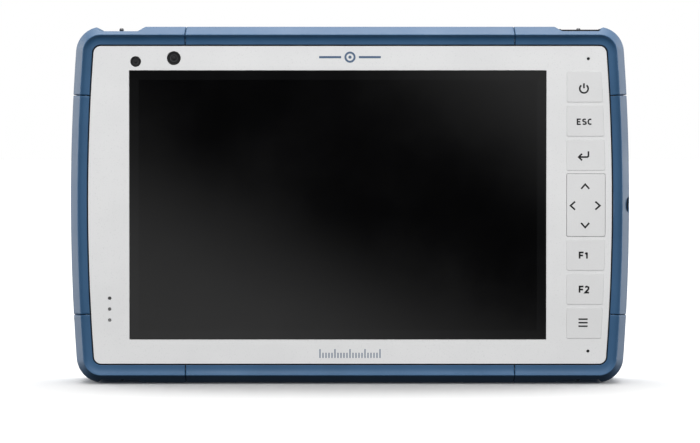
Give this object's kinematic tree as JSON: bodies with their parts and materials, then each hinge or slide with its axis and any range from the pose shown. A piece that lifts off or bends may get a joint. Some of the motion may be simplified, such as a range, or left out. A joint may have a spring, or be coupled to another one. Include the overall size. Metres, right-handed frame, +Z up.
{
  "type": "rugged survey data collector",
  "caption": "Rugged handheld survey tablet: bumper ring around a light bezel with display and a key column, rear battery door and a side port door.",
  "frame": {"origin": "centre of the bottom edge, on the surface the unit stands on", "axes": "+X to the user's right, +Y away from the user through the unit, +Z up along the short side of the display"},
  "size_m": [0.215, 0.04, 0.137],
  "materials": {
    "bumper": "fine-textured moulded blue elastomer over plastic, satin",
    "port_rubber": "black moulded elastomer, fine matt texture",
    "overlay": "light grey plate with a faint speckle, matte",
    "key_cap": "light grey key tops, matte, dark printed legends",
    "display_glass": "black display behind bonded cover glass, glossy",
    "display_panel": "dark liquid crystal panel",
    "case_plastic": "textured black housing plastic",
    "seal": "black silicone seal",
    "chassis_metal": "die-cast light alloy",
    "steel": "stainless steel",
    "circuit_board": "green solder mask",
    "lens": "black glossy lens",
    "light_pipe": "smoked light guide",
    "battery_case": "dark grey battery case",
    "contacts": "gold plated contact block",
    "antenna": "ceramic patch and copper strip"
  },
  "bodies": {
    "housing": {"corner_bumper_top_left": "bumper", "corner_bumper_top_right": "bumper", "corner_bumper_bottom_left": "bumper", "corner_bumper_bottom_right": "bumper", "rail_top": "bumper", "rail_bottom": "bumper", "rail_left": "bumper", "rail_right": "bumper", "front_overlay": "overlay", "cover_glass": "display_glass", "lcd_panel": "display_panel", "rear_shell": "case_plastic", "speaker": "case_plastic", "audio_socket": "case_plastic", "display_gasket": "seal", "perimeter_seal": "seal", "front_chassis": "chassis_metal", "backlight_tray": "chassis_metal", "strap_pin_top_left": "steel", "strap_pin_top_right": "steel", "strap_pin_bottom_left": "steel", "strap_pin_bottom_right": "steel", "case_screw_top_left": "steel", "case_screw_top_right": "steel", "case_screw_bottom_left": "steel", "case_screw_bottom_right": "steel", "port_door_pin": "steel", "battery_door_pin": "steel", "microphone_top": "steel", "microphone_bottom": "steel", "shield_can": "steel", "power_socket": "steel", "usb_a_socket": "steel", "usb_c_socket": "steel", "main_board": "circuit_board", "keypad_board": "circuit_board", "front_camera": "lens", "light_sensor": "lens", "rear_camera": "lens", "rear_camera_window": "lens", "light_pipe_1": "light_pipe", "light_pipe_2": "light_pipe", "light_pipe_3": "light_pipe", "battery_pack": "battery_case", "battery_contacts": "contacts", "satellite_antenna": "antenna", "wireless_antenna": "antenna"},
    "power_key": {"key_power": "key_cap"},
    "escape_key": {"key_escape": "key_cap"},
    "enter_key": {"key_enter": "key_cap"},
    "f1_key": {"key_f1": "key_cap"},
    "f2_key": {"key_f2": "key_cap"},
    "menu_key": {"key_menu": "key_cap"},
    "pad_pivot": {"key_pad_pivot": "steel"},
    "direction_pad": {"key_pad": "key_cap"},
    "port_cover": {"port_door": "port_rubber"},
    "battery_cover": {"battery_door": "case_plastic", "battery_door_gasket": "seal"},
    "latch_left": {"battery_latch_left": "steel"},
    "latch_right": {"battery_latch_right": "steel"}
  },
  "joints": [
    {"name": "power_key_press", "type": "slide", "parent": "housing", "child": "power_key", "axis": [0, 1, 0], "range_m": [0, 0.0005], "stiffness_N_per_m": 600},
    {"name": "escape_key_press", "type": "slide", "parent": "housing", "child": "escape_key", "axis": [0, 1, 0], "range_m": [0, 0.0005], "stiffness_N_per_m": 600},
    {"name": "enter_key_press", "type": "slide", "parent": "housing", "child": "enter_key", "axis": [0, 1, 0], "range_m": [0, 0.0005], "stiffness_N_per_m": 600},
    {"name": "f1_key_press", "type": "slide", "parent": "housing", "child": "f1_key", "axis": [0, 1, 0], "range_m": [0, 0.0005], "stiffness_N_per_m": 600},
    {"name": "f2_key_press", "type": "slide", "parent": "housing", "child": "f2_key", "axis": [0, 1, 0], "range_m": [0, 0.0005], "stiffness_N_per_m": 600},
    {"name": "menu_key_press", "type": "slide", "parent": "housing", "child": "menu_key", "axis": [0, 1, 0], "range_m": [0, 0.0005], "stiffness_N_per_m": 600},
    {"name": "pad_up_down", "type": "hinge", "parent": "housing", "child": "pad_pivot", "pos_m": [0.0907, -0.014, 0.0685], "axis": [1, 0, 0], "range_deg": [-1.5, 1.5], "stiffness_Nm_per_rad": 0.6},
    {"name": "pad_left_right", "type": "hinge", "parent": "pad_pivot", "child": "direction_pad", "pos_m": [0.0907, -0.014, 0.0685], "axis": [0, 0, 1], "range_deg": [-1.5, 1.5], "stiffness_Nm_per_rad": 0.6},
    {"name": "port_door_swing", "type": "hinge", "parent": "housing", "child": "port_cover", "pos_m": [0.1056, 0.0118, 0.0685], "axis": [0, 0, 1], "range_deg": [0, 100]},
    {"name": "battery_door_swing", "type": "hinge", "parent": "housing", "child": "battery_cover", "pos_m": [0, 0.0168, 0.0337], "axis": [-1, 0, 0], "range_deg": [0, 100]},
    {"name": "latch_left_turn", "type": "hinge", "parent": "battery_cover", "child": "latch_left", "pos_m": [-0.032, 0.0175, 0.0945], "axis": [0, -1, 0], "range_deg": [0, 90]},
    {"name": "latch_right_turn", "type": "hinge", "parent": "battery_cover", "child": "latch_right", "pos_m": [0.032, 0.0175, 0.0945], "axis": [0, 1, 0], "range_deg": [0, 90]}
  ]
}
